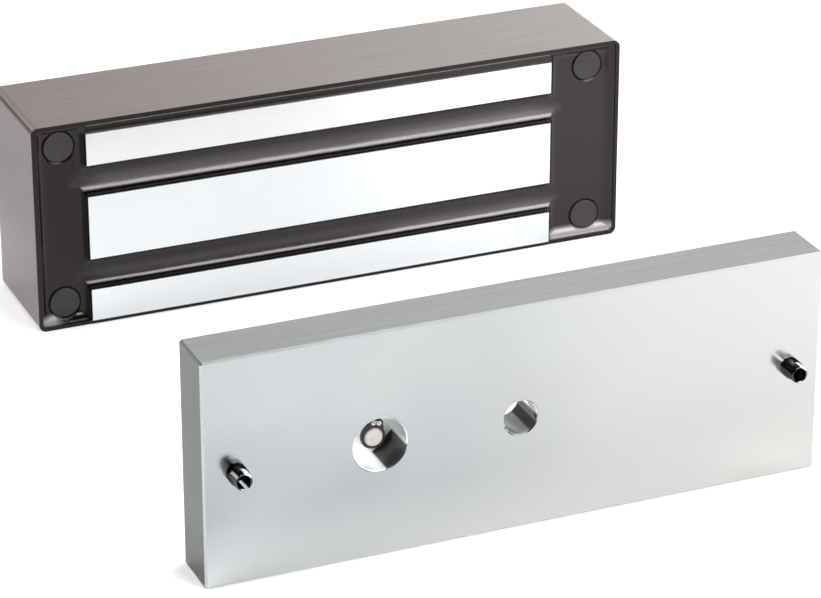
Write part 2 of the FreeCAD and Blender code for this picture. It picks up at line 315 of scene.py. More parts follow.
# %% The ring's outline
RING_RADIUS = 3.4 * MM
RING_BORE = 2.2 * MM
RING_GAP = 0.4 * MM
EAR_RADIUS, EAR_HOLE = 1.2 * MM, 0.62 * MM
EAR_SIDE, EAR_UP = 0.75 * MM, 3.9 * MM          # the ears' places beside and above the rod's axis
RING_TURN = 14.0        # degrees
FLANK_FOOT = 0.97       # keeps the block's lower corners inside the circle

ring_low, ring_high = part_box("retaining_ring")
rod_x, rod_z = middle_of("plunger_guide")
front, back = ring_low.y, ring_high.y

ring = bar_along_y("snap_ring", RING_RADIUS, rod_x, rod_z, front, back, sides=128)
for side in (-1, 1):
    ear = bar_along_y("ear", EAR_RADIUS, rod_x + side * EAR_SIDE, rod_z + EAR_UP, front, back, sides=64)
    join_or_cut(ring, ear, "UNION")
flanks = block("flanks", (rod_x, (front + back) / 2, rod_z + EAR_UP / 2),
               (2 * RING_RADIUS, back - front, EAR_UP))
pick_edges(flanks, lambda point: point.z > rod_z + EAR_UP / 2)
bpy.ops.transform.resize(value=((EAR_SIDE + EAR_RADIUS) / RING_RADIUS, 1, 1),
                         center_override=(rod_x, 0, rod_z))
leave_edit()
pick_edges(flanks, lambda point: point.z < rod_z + EAR_UP / 2)
bpy.ops.transform.resize(value=(FLANK_FOOT, 1, 1), center_override=(rod_x, 0, rod_z))
leave_edit()
join_or_cut(ring, flanks, "UNION")
print("outline joined,", len(ring.data.polygons), "faces")

# %% Its bore, gap and holes
PAST = 1.0 * MM         # how far each cutting tool runs past the ring
for side in (-1, 1):
    hole = bar_along_y("hole", EAR_HOLE, rod_x + side * EAR_SIDE, rod_z + EAR_UP,
                       front - PAST, back + PAST, sides=40)
    join_or_cut(ring, hole, "DIFFERENCE")
bore = bar_along_y("bore", RING_BORE, rod_x, rod_z, front - PAST, back + PAST, sides=128)
join_or_cut(ring, bore, "DIFFERENCE")
slit = block("slit", (rod_x, (front + back) / 2, rod_z + EAR_UP),
             (RING_GAP, back - front + 2 * PAST, 2 * EAR_UP))
join_or_cut(ring, slit, "DIFFERENCE")
pick_faces(ring, lambda centre, normal: True)
bpy.ops.transform.rotate(value=math.radians(-RING_TURN), orient_axis="Y", center_override=(rod_x, 0, rod_z))
leave_edit()
rounded_edges(ring, FINE_ROUNDING, 55)
smooth(ring, 40)
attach(ring, "plunger")
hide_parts("retaining_ring")
print("ring measures", measured(ring), "mm")

# %% [markdown]
# ## The return spring
#
# Under the plunger's button lies a short coil spring. It hides in its pocket, but it moves, so it is
# made as a real coil. A small circle stands for the wire's section, and the Screw modifier carries it
# round the axis. The Screw modifier turns about its object's own axis, so the circle is drawn beside
# the origin and the coil is put in place afterwards.

# %% The coil
WIRE_RADIUS = 0.17 * MM
SPRING_TURNS = 2
spring_low, spring_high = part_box("plunger_spring")
spring_room = spring_high.y - spring_low.y
coil_radius = (spring_high.z - spring_low.z) / 2 - WIRE_RADIUS

pick_nothing()
bpy.ops.mesh.primitive_circle_add(vertices=16, radius=WIRE_RADIUS, location=(coil_radius, 0, 0),
                                  rotation=(QUARTER_TURN, 0, 0))
coil = bpy.context.object
coil.name = "coil_spring"
settle(coil)
rise = (spring_room - 2 * WIRE_RADIUS) / SPRING_TURNS
apply_modifier(coil, "SCREW", axis="Z", angle=2 * math.pi, screw_offset=rise, iterations=SPRING_TURNS,
               steps=48, render_steps=48, use_merge_vertices=True, merge_threshold=HAIR)
pick_faces(coil, lambda centre, normal: True)
bpy.ops.mesh.select_mode(type="VERT")
bpy.ops.mesh.select_all(action="DESELECT")
bpy.ops.mesh.select_non_manifold(extend=False)
bpy.ops.mesh.edge_face_add()
bpy.ops.mesh.select_all(action="SELECT")
bpy.ops.mesh.normals_make_consistent(inside=False)
leave_edit()
coil.rotation_euler = (-QUARTER_TURN, 0, 0)
coil.location = (rod_x, spring_low.y + WIRE_RADIUS, rod_z)
settle(coil)
smooth(coil, 60)
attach(coil, "lock")
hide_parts("plunger_spring")
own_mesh(coil)
print("spring measures", measured(coil), "mm")

# %% [markdown]
# ## Finishes
#
# A finish is a node material. The CAD pieces have no texture map, so a painted picture would need one
# first. Patterns that are worked out from the place in the piece need none, and they stay sharp in
# close-up. Object coordinates, which stay with the piece, go through a Mapping node that stretches
# them, and into a noise. A noise that is stretched a hundredfold along one axis reads as brush lines.
# The same noise drives a little of the colour, a little of the roughness and a fine bump, so that the
# lines catch the light as real ones do. Each finish is named for what its piece is made of.

# %% Nodes and links


def connect(finish, value, socket):
    """Links another node's output into a socket, or sets the socket to a plain value."""
    if isinstance(value, bpy.types.NodeSocket):
        finish.node_tree.links.new(value, socket)
    else:
        socket.default_value = value


def add_node(finish, kind, inputs=None, **settings):
    """One node with its settings, and with its inputs connected."""
    node = finish.node_tree.nodes.new("ShaderNode" + kind)
    for setting, value in settings.items():
        setattr(node, setting, value)
    for socket, value in (inputs or {}).items():
        connect(finish, value, node.inputs[socket])
    return node


def shader_of(finish):
    """The shader of a finish."""
    return finish.node_tree.nodes["Principled BSDF"]


def feed(finish, socket, value):
    """Links a value into one of the shader's sockets, or sets the socket to a plain value."""
    connect(finish, value, shader_of(finish).inputs[socket])


def new_finish(name, colour, metallic, roughness):
    """A node material, with three values set on its shader."""
    finish = bpy.data.materials.new(name)
    finish.use_nodes = True
    for socket, value in (("Base Color", (*colour, 1)), ("Metallic", metallic), ("Roughness", roughness)):
        feed(finish, socket, value)
    return finish


def raise_by(finish, height, depth, strength):
    """Gives the shader a bump from a height."""
    bump = add_node(finish, "Bump", {"Height": height, "Distance": depth, "Strength": strength})
    feed(finish, "Normal", bump.outputs["Normal"])
    return bump


print("nodes and links ready")

# %% Patterns and blends


def place_of(finish, stretch=(1, 1, 1), shift=(0, 0, 0)):
    """Object coordinates, stretched and shifted."""
    where = add_node(finish, "TexCoord").outputs["Object"]
    mapping = add_node(finish, "Mapping", {"Vector": where, "Location": shift, "Scale": stretch})
    return mapping.outputs["Vector"]


def noise_at(finish, place, scale, detail=2.0, roughness=0.5):
    """A noise between 0 and 1 at a place."""
    return add_node(finish, "TexNoise", {"Vector": place, "Scale": scale, "Detail": detail,
                                         "Roughness": roughness}).outputs["Fac"]


def ring_waves(finish, place, scale, distortion, detail_scale=1.0):
    """Waves that run in rings round the Y axis of a place."""
    inputs = {"Vector": place, "Scale": scale, "Distortion": distortion, "Detail": 2.0,
              "Detail Scale": detail_scale}
    return add_node(finish, "TexWave", inputs, wave_type="RINGS", rings_direction="Y").outputs["Fac"]


def spread(finish, value, low, high, from_low=0.3, from_high=0.7):
    """A value carried into another range, and held inside it."""
    return add_node(finish, "MapRange", {"Value": value, "From Min": from_low, "From Max": from_high,
                                         "To Min": low, "To Max": high}).outputs["Result"]


def blend_values(finish, share, first, second):
    """The first value where the share is 0, and the second where it is 1."""
    return spread(finish, share, first, second, 0.0, 1.0)


# A Mix node repeats the names of its sockets for each type of data, so the colour ones go by number
MIX_SHARE, MIX_FIRST, MIX_SECOND, MIX_RESULT = 0, 6, 7, 2


def blend_colours(finish, share, first, second):
    """The first colour where the share is 0, and the second where it is 1."""
    first, second = ((*c, 1) if isinstance(c, tuple) else c for c in (first, second))
    inputs = {MIX_SHARE: share, MIX_FIRST: first, MIX_SECOND: second}
    return add_node(finish, "Mix", inputs, data_type="RGBA").outputs[MIX_RESULT]


print("patterns and blends ready")

# %% Sums


def calculate(finish, operation, first, second=0.0):
    """A sum, product or other step between two values."""
    return add_node(finish, "Math", {0: first, 1: second}, operation=operation).outputs[0]


def times(finish, first, second):
    """The product of two values. Of two masks, it is 1 only where both are."""
    return calculate(finish, "MULTIPLY", first, second)


def larger(finish, first, second):
    """The larger of two values. Of two masks, it is 1 where either is."""
    return calculate(finish, "MAXIMUM", first, second)


def opposite(finish, mask):
    """1 where the mask is 0, and 0 where it is 1."""
    return calculate(finish, "SUBTRACT", 1.0, mask)


def cut_back(finish, value, mask, kept):
    """The value, of which only the kept share is left where the mask is 1."""
    return times(finish, value, blend_values(finish, mask, 1.0, kept))


print("sums ready")

# %% [markdown]
# Which way a face looks changes its finish. The plate is ground on its two broad faces, brushed along
# its edges, and only sawn at its ends. The texture coordinate's Normal, in the piece's own axes, tells
# these faces apart. Other masks go by place: they rise along an axis, or mark what lies round a bore
# or on one side of it.

# %% Masks by direction and place
FACES_FROM, FACES_FULLY = 0.6, 0.8      # the normal's part along the axis, where the mask rises
CRISP, SOFT = 0.02 * MM, 0.15 * MM      # half the width of a mask's border


def facing(finish, axis):
    """1 where the face looks along the axis or against it, 0 elsewhere."""
    normal = add_node(finish, "TexCoord").outputs["Normal"]
    parts = add_node(finish, "SeparateXYZ", {"Vector": normal})
    size = calculate(finish, "ABSOLUTE", parts.outputs[axis])
    return spread(finish, size, 0.0, 1.0, FACES_FROM, FACES_FULLY)


def slanted(finish, first_axis, second_axis):
    """1 on the chamfers between the faces along two axes, 0 elsewhere."""
    halfway = times(finish, facing(finish, first_axis), facing(finish, second_axis))
    return spread(finish, halfway, 0.0, 1.0, from_low=0.05, from_high=0.2)


def along(finish, axis, low, high):
    """Rises from 0 at the first place on the axis to 1 at the second."""
    where = add_node(finish, "TexCoord").outputs["Object"]
    parts = add_node(finish, "SeparateXYZ", {"Vector": where})
    return spread(finish, parts.outputs[axis], 0.0, 1.0, low, high)


def between(finish, axis, low, high, soft):
    """1 between two places on the axis, with soft ends, 0 outside."""
    past_high = along(finish, axis, high - soft, high + soft)
    return times(finish, along(finish, axis, low - soft, low + soft), opposite(finish, past_high))


def in_front_of(finish, y):
    """1 where the piece lies on the viewer's side of a place along Y, 0 behind it."""
    return opposite(finish, along(finish, "Y", y - CRISP, y + CRISP))


def near_axis(finish, x, z, radius):
    """1 within the radius of the line along Y through x and z, 0 outside."""
    flat = place_of(finish, stretch=(1, 0, 1), shift=(-x, 0, -z))
    reach = add_node(finish, "VectorMath", {0: flat}, operation="LENGTH").outputs["Value"]
    return opposite(finish, spread(finish, reach, 0.0, 1.0, radius - CRISP, radius + CRISP))


def side_of_bore(finish, x, z, angle, reach):
    """1 on the side of a bore that lies at an angle from +X towards +Z, past the reach from its axis."""
    centred = place_of(finish, shift=(-x, 0, -z))
    way = (math.cos(math.radians(angle)), 0, math.sin(math.radians(angle)))
    out = add_node(finish, "VectorMath", {0: centred, 1: way}, operation="DOT_PRODUCT").outputs["Value"]
    return spread(finish, out, 0.0, 1.0, reach - SOFT, reach + SOFT)


print("masks ready")

# %% [markdown]
# ## Armature plate
#
# The plate is ground steel with a thin bright zinc coat, with faint clouds. Its colour drifts from a
# dark bluish grey at the left to a light warm white at the right: the tint is the coat's own, and the
# change in brightness is painted light, lighter where more light falls. Along its foot it is painted
# paler, a painted light that evens out the darker floor that the foot reflects. The grinding wheel
# leaves fine arcs that only show near one corner. A noise for the clouds, a ring wave for the arcs and
# a few masks by place are laid over each other, one blend for each.

# %% Plate colours
# The left colour is darker, painted shade, and the right one lighter, painted light; their tints are the
# coat's.
SHADED_ZINC_BLUE, LIT_ZINC_WARM = (0.27, 0.293, 0.315), (0.495, 0.487, 0.475)
CLOUD = (0.465, 0.49, 0.48)
# Painted light along the foot, paler where the floor before the plate lies in shade.
PAINTED_FOOT_LIGHT_LEFT, PAINTED_FOOT_LIGHT_RIGHT = (0.66, 0.68, 0.665), (0.66, 0.65, 0.635)
EDGE_LEFT, EDGE_LEFT_LIGHT = (0.57, 0.59, 0.59), (0.64, 0.66, 0.66)
EDGE_RIGHT, EDGE_RIGHT_LIGHT = (0.48, 0.485, 0.485), (0.54, 0.545, 0.545)
# The ends' painted shade, and a pale painted highlight for the upright chamfers.
PLATE_END_SHADE, UPRIGHT_EDGE_HIGHLIGHT = (0.055, 0.061, 0.06), (0.44, 0.46, 0.45)
# The walls' painted light, the bores' painted dark reflection, and the bolt hole's painted shade.
LIT_BORE_WALL, BORE_DARK_REFLECTION, BOLT_SHADE_GREY = (0.93, 0.95, 0.94), (0.045, 0.05, 0.05), (0.34, 0.35, 0.35)

plate_low, plate_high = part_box("armature_plate")
zinc = new_finish("bright_zinc_plate", SHADED_ZINC_BLUE, 1.0, 0.17)
plate_place = place_of(zinc)
to_right = along(zinc, "X", plate_low.x, plate_high.x)
print("plate from", round(plate_low.x / MM, 1), "to", round(plate_high.x / MM, 1), "mm")

# %% Plate faces
WHEEL_X = 15 * MM                           # the arcs' middle, on the floor
ARCS_FROM, ARCS_TO = 20 * MM, 45 * MM       # the heights between which the arcs appear
FADE_FROM, FADE_TO = 25 * MM, 75 * MM       # and how far from the left end they fade
ARC_SHARE, CLOUD_SHARE, FOOT_LIGHT_SHARE = 0.2, 0.35, 0.65
FOOT_HEIGHT, FOOT_CURVE = 22 * MM, 1.5

clouds = noise_at(zinc, plate_place, scale=14.0)
arcs = ring_waves(zinc, place_of(zinc, shift=(-WHEEL_X, 0, 0)), scale=330.0,
                  distortion=1.2, detail_scale=60.0)
patches = spread(zinc, noise_at(zinc, plate_place, scale=22.0, detail=1.0), 0.2, 1.0,
                 from_low=0.4, from_high=0.6)
faded = along(zinc, "X", plate_low.x + FADE_FROM, plate_low.x + FADE_TO)
corner = times(zinc, along(zinc, "Z", ARCS_FROM, ARCS_TO), opposite(zinc, faded))
arcs = times(zinc, arcs, times(zinc, patches, corner))
# Painted light: the colour turns lighter towards the right.
tint = blend_colours(zinc, to_right, SHADED_ZINC_BLUE, LIT_ZINC_WARM)
tint = blend_colours(zinc, times(zinc, arcs, ARC_SHARE), tint, EDGE_LEFT_LIGHT)
# Painted light, strongest at the floor and gone at the foot's height.
foot = opposite(zinc, along(zinc, "Z", 0.0, FOOT_HEIGHT))
foot = times(zinc, calculate(zinc, "POWER", foot, FOOT_CURVE), FOOT_LIGHT_SHARE)
foot_light_tint = blend_colours(zinc, to_right, PAINTED_FOOT_LIGHT_LEFT, PAINTED_FOOT_LIGHT_RIGHT)
tint = blend_colours(zinc, foot, tint, foot_light_tint)
cloudy = spread(zinc, clouds, 0.0, CLOUD_SHARE, from_low=0.38, from_high=0.62)
tint = blend_colours(zinc, cloudy, tint, CLOUD)
print("plate faces blended,", len(zinc.node_tree.nodes), "nodes so far")

# %% [markdown]
# The long edges are brushed, with the lines along them. The ends are sawn and duller, and painted
# darker, a painted shade of the faces turned from the light. The chamfers between the faces are
# broken by hand and stay matt, and the upright ones carry a pale painted highlight. All of these are
# parts of one mesh, so a mask by the face's direction takes the place of a material for each.

# %% Plate edges and ends
edge_lines = noise_at(zinc, place_of(zinc, stretch=(6, 260, 700)), scale=5.0, detail=3.0, roughness=0.6)
line_share = spread(zinc, edge_lines, 0, 1)
edge_tint = blend_colours(zinc, to_right,
                          blend_colours(zinc, line_share, EDGE_LEFT, EDGE_LEFT_LIGHT),
                          blend_colours(zinc, line_share, EDGE_RIGHT, EDGE_RIGHT_LIGHT))
upright_edge = slanted(zinc, "X", "Y")
tint = blend_colours(zinc, facing(zinc, "Z"), tint, edge_tint)
# Painted shade on the ends.
tint = blend_colours(zinc, facing(zinc, "X"), tint, PLATE_END_SHADE)
# A painted highlight on the upright chamfers.
tint = blend_colours(zinc, upright_edge, tint, UPRIGHT_EDGE_HIGHLIGHT)
print("edges blended,", len(zinc.node_tree.nodes), "nodes so far")

# %% [markdown]
# The bolt hole and the recess are bored after grinding. Their walls are painted pale, a painted
# light, and are less metallic, so that they look pale from every side. On its right side each bore
# gets a dark band, a painted dark reflection and shade, in the recess that of the black ring. The bolt
# hole is painted grey below it too, a painted shade. The masks stop short of the countersink on the
# far side, which nobody sees from here.

# %% Plate bores
BOLT_REACH, RECESS_REACH = 4.95 * MM, 7.75 * MM         # a little past the radius of each bore
FAR_SIDE = 4.2 * MM                                     # what the masks leave out, from the contact face
# Where the painted dark reflection and the bolt hole's painted shade lie.
BOLT_REFLECTION_SIDE, RECESS_REFLECTION_SIDE = (-28, 4.2 * MM), (-44, 6.3 * MM)       # angle, and distance from the axis
BOLT_SHADE_SIDE = (-100, 2.4 * MM)

bolt_axis, rod_axis = middle_of("armature_plate"), (rod_x, rod_z)
door_side = in_front_of(zinc, plate_high.y - FAR_SIDE)
bolt_bore = times(zinc, near_axis(zinc, *bolt_axis, BOLT_REACH), door_side)
recess = times(zinc, near_axis(zinc, *rod_axis, RECESS_REACH), door_side)
bored = larger(zinc, bolt_bore, recess)
# Painted dark reflection on one side of each bore, painted shade low in the bolt hole.
bolt_reflection = times(zinc, bolt_bore, side_of_bore(zinc, *bolt_axis, *BOLT_REFLECTION_SIDE))
recess_reflection = times(zinc, recess, side_of_bore(zinc, *rod_axis, *RECESS_REFLECTION_SIDE))
painted_bore_reflection = larger(zinc, bolt_reflection, recess_reflection)
bolt_shade = times(zinc, bolt_bore, side_of_bore(zinc, *bolt_axis, *BOLT_SHADE_SIDE))
painted_bore_tint = blend_colours(zinc, bolt_shade, LIT_BORE_WALL, BOLT_SHADE_GREY)
painted_bore_tint = blend_colours(zinc, painted_bore_reflection, painted_bore_tint, BORE_DARK_REFLECTION)
feed(zinc, "Base Color", blend_colours(zinc, bored, tint, painted_bore_tint))
print("bores marked")

# %% [markdown]
# Colour alone doesn't tell ground metal from bored metal, so the roughness and the bump follow the
# same masks. The roughness is low on the walls of the bores and higher on the recess's milled floor
# and on the ends. The chamfers scatter light as a matt coat does, so they are less metallic.

# %% Plate surface
GRIND_DEPTH = 0.01 * MM
GROUND_ROUGH = (0.14, 0.2)              # the least and the most
WALL_KEPT, FLOOR_ROUGHER, ENDS_ROUGHER = 0.35, 0.25, 0.12
BORE_METAL = 0.35                       # less metallic, so that the bores look pale from every side
CHAMFER_MATT_LEFT, CHAMFER_MATT_RIGHT, UPRIGHT_MATT = 0.5, 0.9, 0.6

fine = noise_at(zinc, place_of(zinc, stretch=(40, 300, 1200)), scale=2.0, detail=4.0, roughness=0.7)
height = calculate(zinc, "ADD", times(zinc, arcs, 0.5), times(zinc, fine, 0.5))
height = times(zinc, height, opposite(zinc, bored))
raise_by(zinc, height, GRIND_DEPTH, strength=0.3)
broad_face = facing(zinc, "Y")
wall = times(zinc, bored, opposite(zinc, broad_face))
milled = times(zinc, bored, broad_face)
rough = spread(zinc, noise_at(zinc, plate_place, scale=60.0, detail=3.0), *GROUND_ROUGH)
rough = calculate(zinc, "ADD", rough, times(zinc, facing(zinc, "X"), ENDS_ROUGHER))
rough = cut_back(zinc, rough, wall, WALL_KEPT)
rough = calculate(zinc, "ADD", rough, times(zinc, milled, FLOOR_ROUGHER))
feed(zinc, "Roughness", rough)
chamfer_matt = blend_values(zinc, to_right, CHAMFER_MATT_LEFT, CHAMFER_MATT_RIGHT)
matt = larger(zinc, times(zinc, slanted(zinc, "Y", "Z"), chamfer_matt),
              times(zinc, upright_edge, UPRIGHT_MATT))
metal = blend_values(zinc, bored, 1.0, BORE_METAL)
feed(zinc, "Metallic", times(zinc, metal, opposite(zinc, matt)))
print(zinc.name, "has", len(zinc.node_tree.nodes), "nodes")

# %% [markdown]
# ## Magnet tray, pole bars and guide
#
# The tray is brushed stainless steel with a warm grey tone. The brush lines run along its length. Its
# colour is painted lighter towards the right, a painted light. Its ends are painted darker, a painted
# shade, and lighter towards the bottom, a painted light against the darker floor that they reflect.
# The thin rim round the pole side is dark: resin runs over it in casting, and it is only wiped, not
# ground. The pole bars are the ground ends of the core and the brightest metal here. The top one is
# painted lighter still, a painted light. The plunger's guide is turned steel, and its lines follow
# each other along Y. One function makes all three: they differ in tone, in the way that the noise is
# stretched, and in what is blended over it.

# %% Brushed metal


def brushed_metal(name, colour, lighter, roughness, lines, depth, painted_light_drift=None, ends=None, rim=None,
                  uneven=0.05):
    """A metal with brush lines. lines stretches the noise: small along the lines, large across them."""
    finish = new_finish(name, colour, 1.0, roughness)
    streaks = noise_at(finish, place_of(finish, lines), scale=1.0, detail=4.0, roughness=0.65)
    streak_share = spread(finish, streaks, 0, 1)
    tone = blend_colours(finish, streak_share, colour, lighter)
    # A drift to another tone along an axis, used here for painted light.
    if painted_light_drift:
        axis, low, high, other, other_lighter = painted_light_drift
        tone = blend_colours(finish, along(finish, axis, low, high), tone,
                             blend_colours(finish, streak_share, other, other_lighter))
    # The end faces get a tone by height: painted shade, lighter towards the bottom as painted light.
    if ends:
        height, lower, upper = ends
        tone = blend_colours(finish, facing(finish, "X"), tone,
                             blend_colours(finish, along(finish, "Z", 0.0, height), lower, upper))
    if rim:
        rim_place, rim_colour = rim
        tone = blend_colours(finish, in_front_of(finish, rim_place), tone, rim_colour)
    feed(finish, "Base Color", tone)
    feed(finish, "Roughness", spread(finish, streaks, roughness - uneven, roughness + uneven))
    raise_by(finish, streaks, depth, strength=0.5)
    return finish


print("brushed metal ready")

# %% Tray, poles and guide
# The tray's tone: darker at the left, painted shade, and lighter at the right, painted light.
TRAY_LEFT_SHADED, TRAY_LEFT_SHADED_STREAK = (0.385, 0.318, 0.307), (0.505, 0.432, 0.418)
TRAY_RIGHT_LIT, TRAY_RIGHT_LIT_STREAK = (0.49, 0.45, 0.43), (0.64, 0.61, 0.58)
# The ends' painted light low down and painted shade higher up, and the rim's dark resin.
TRAY_END_LOW_LIT, TRAY_END_HIGH_SHADED, TRAY_RIM = (0.215, 0.189, 0.186), (0.09, 0.077, 0.076), (0.03, 0.026, 0.026)
BAR, BAR_LIGHT = (0.66, 0.68, 0.695), (0.675, 0.695, 0.71)
# The top bar's lighter tone is painted light.
TOP_BAR_LIT, TOP_BAR_LIT_STREAK = (0.73, 0.73, 0.73), (0.745, 0.745, 0.745)
RIM_DEPTH = 0.35 * MM
END_SHADE_TO = 35 * MM                              # the ends' upper tone is reached here
TOP_BAR_FROM, TOP_BAR_FULLY = 41 * MM, 52 * MM      # about the upper channel, where no bar shows

tray_low, tray_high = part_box("housing")
tray_steel = brushed_metal(
    "brushed_tray", TRAY_LEFT_SHADED, TRAY_LEFT_SHADED_STREAK, 0.36, (22, 2200, 2200), 0.03 * MM,
    painted_light_drift=("X", tray_low.x, tray_high.x, TRAY_RIGHT_LIT, TRAY_RIGHT_LIT_STREAK),
    ends=(END_SHADE_TO, TRAY_END_LOW_LIT, TRAY_END_HIGH_SHADED), rim=(tray_low.y + RIM_DEPTH, TRAY_RIM))
pole_steel = brushed_metal(
    "ground_pole_steel", BAR, BAR_LIGHT, 0.3, (40, 400, 900), 0.0003 * MM,
    painted_light_drift=("Z", TOP_BAR_FROM, TOP_BAR_FULLY, TOP_BAR_LIT, TOP_BAR_LIT_STREAK), uneven=0.02)
guide_steel = brushed_metal(
    "turned_guide_steel", (0.5, 0.48, 0.47), (0.6, 0.58, 0.57), 0.3, (200, 5000, 200), 0.008 * MM)
print("three brushed finishes ready")

# %% [markdown]
# ## Resin
#
# The resin is poured in and sets with a glossy skin. It is nearly black, and painted a little paler
# in the right pool than in the left one, a painted light on the brighter side. Its skin is never quite
# level: a slow noise through a bump bends the reflections a little. The Bevel node rounds the folds in
# the light only and leaves the mesh alone, which is enough for folds this fine.

# %% Resin skin
# The left pool's painted shade and the right pool's painted light.
RESIN_LEFT_SHADED, RESIN_RIGHT_LIT = (0.003, 0.001, 0.001), (0.009, 0.0045, 0.0045)
# The channels' painted reflection, and the dark line of painted shade.
CHANNEL_REFLECTION, PAINTED_SHADE_LINE = (0.09, 0.08, 0.08), (0.002, 0.0015, 0.0015)
# The pale band's painted highlight.
PAINTED_BAND_HIGHLIGHT = (0.24, 0.225, 0.225)
SWELL_DEPTH, FOLD_RADIUS = 0.12 * MM, 1.2 * MM
GLOSS_LEFT, GLOSS_RIGHT = 0.3, 0.4

core_low, core_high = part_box("core")
resin = new_finish("cast_black_resin", (0.022, 0.017, 0.017), 0.0, 0.16)
slow = noise_at(resin, place_of(resin, stretch=(1, 1, 2)), scale=90.0)
dust = noise_at(resin, place_of(resin), scale=1800.0)
swell = calculate(resin, "ADD", slow, times(resin, dust, 0.03))
skin = raise_by(resin, swell, SWELL_DEPTH, strength=0.5)
soft_folds = add_node(resin, "Bevel", {"Radius": FOLD_RADIUS}, samples=8)
connect(resin, soft_folds.outputs["Normal"], skin.inputs["Normal"])
resin_to_right = along(resin, "X", core_low.x, core_high.x)
tone = blend_colours(resin, resin_to_right, RESIN_LEFT_SHADED, RESIN_RIGHT_LIT)
gloss = blend_values(resin, resin_to_right, GLOSS_LEFT, GLOSS_RIGHT)
print("resin skin ready")

# %% [markdown]
# In the channels between the pole bars the skin is painted paler on its way down, a painted
# reflection of the bright floor, and ends in a dull dark line where it meets the lower bar, a painted
# shade. A dull brow of painted shade lies under the upper bar too. Both channels are alike, so a loop
# lays the same marks into each, in shares of the channel's height.

# %% Channels between the bars
BAR_HEIGHT, CHANNEL_HEIGHT = 10 * MM, 10 * MM       # of the two outer bars, and of both channels
# How strongly each channel's painted reflection shows, and how it rises.
LOWER_REFLECTION, UPPER_REFLECTION, REFLECTION_CURVE = 0.45, 1.0, 2.4
LINE_GLOSS, BROW_GLOSS = 0.15, 0.5                  # what is left of the gloss
# In shares of the channel's height: from, to, and for a band its softness too
REFLECTION_STARTS, REFLECTION_FADES = (0.2, 0.3), (0.38, 0.88)
LINE, BROW, MOUTH = (-0.1, 0.13, 0.02), (0.8, 1.1, 0.05), (0.15, 0.98, 0.08)


def up_channel(foot, low, high):
    """Rises from 0 to 1 between two shares of a channel's height."""
    return along(resin, "Z", foot + low * CHANNEL_HEIGHT, foot + high * CHANNEL_HEIGHT)


def channel_band(foot, low, high, soft):
    """1 between two shares of a channel's height, 0 outside."""
    low, high, soft = (share * CHANNEL_HEIGHT for share in (low, high, soft))
    return between(resin, "Z", foot + low, foot + high, soft)


in_core = between(resin, "X", core_low.x, core_high.x, soft=0.8 * MM)
reflection_reach = between(resin, "X", core_low.x, core_high.x, soft=6 * MM)
mouths = 0.0
for foot, reflection_share in ((core_low.z + BAR_HEIGHT, LOWER_REFLECTION),
                    (core_high.z - BAR_HEIGHT - CHANNEL_HEIGHT, UPPER_REFLECTION)):
    # Painted reflection, paler towards the lower bar.
    reflection_gone = up_channel(foot, *REFLECTION_FADES)
    paler = calculate(resin, "POWER", opposite(resin, reflection_gone), REFLECTION_CURVE)
    channel_reflection = times(resin, paler, times(resin, up_channel(foot, *REFLECTION_STARTS), reflection_reach))
    tone = blend_colours(resin, times(resin, channel_reflection, reflection_share), tone, CHANNEL_REFLECTION)
    # Painted shade along the channel's lower and upper edges.
    line = times(resin, channel_band(foot, *LINE), in_core)
    brow = times(resin, channel_band(foot, *BROW), in_core)
    tone = blend_colours(resin, larger(resin, line, brow), tone, PAINTED_SHADE_LINE)
    gloss = cut_back(resin, gloss, line, LINE_GLOSS)
    gloss = cut_back(resin, gloss, brow, BROW_GLOSS)
    mouths = larger(resin, mouths, channel_band(foot, *MOUTH))
    print("channel from", round(foot / MM, 1), "mm up")

# %% [markdown]
# A painted dark line of shade also runs up beside the left ends of the bars, and stops at the mouths
# of the channels. Along the bottom of both pools the skin has shrunk into a fine frosted band, rougher
# and glossier, which catches the low light, and its pale colour there is a painted highlight. Colour,
# gloss and roughness share one mask for each mark, so that the marks stay in step.

# %% Pools and their frosted foot
END_LINE_OUT, END_LINE_IN, END_LINE_SOFT, END_GLOSS = 1.5 * MM, 0.5 * MM, 0.3 * MM, 0.35
BAND_LOW, BAND_HIGH = 1.3 * MM, 3.8 * MM
LEFT_BAND = 6.5 * MM                    # the left band's length from the tray's end
RESIN_ROUGH, FROST_ROUGHER = (0.13, 0.2), 0.2

beside_bars = between(resin, "X", core_low.x - END_LINE_OUT, core_low.x + END_LINE_IN, END_LINE_SOFT)
up_the_bars = between(resin, "Z", core_low.z, core_high.z, END_LINE_SOFT)
at_ends = times(resin, times(resin, beside_bars, up_the_bars), opposite(resin, mouths))
# Painted shade beside the bars' ends.
tone = blend_colours(resin, at_ends, tone, PAINTED_SHADE_LINE)
gloss = cut_back(resin, gloss, at_ends, END_GLOSS)
in_right = between(resin, "X", core_high.x + 1.0 * MM, tray_high.x, soft=0.8 * MM)
in_left = between(resin, "X", tray_low.x, tray_low.x + LEFT_BAND, soft=1.5 * MM)
low_band = between(resin, "Z", BAND_LOW, BAND_HIGH, soft=1.0 * MM)
frost_and_highlight_band = times(resin, low_band, larger(resin, in_right, in_left))
# Painted highlight along the pools' foot, where the band is also rougher and glossier.
feed(resin, "Base Color", blend_colours(resin, frost_and_highlight_band, tone, PAINTED_BAND_HIGHLIGHT))
resin_rough = spread(resin, dust, *RESIN_ROUGH)
resin_rough = calculate(resin, "ADD", resin_rough, times(resin, frost_and_highlight_band, FROST_ROUGHER))
feed(resin, "Roughness", resin_rough)
# for an export, which drops the link that follows
feed(resin, "Specular IOR Level", 0.38)      # a plain value first, which the link that follows overrides
feed(resin, "Specular IOR Level", larger(resin, gloss, frost_and_highlight_band))
feed(resin, "IOR", 1.5)
feed(resin, "Specular Tint", (1.0, 0.94, 0.94, 1))
print(resin.name, "has", len(resin.node_tree.nodes), "nodes")

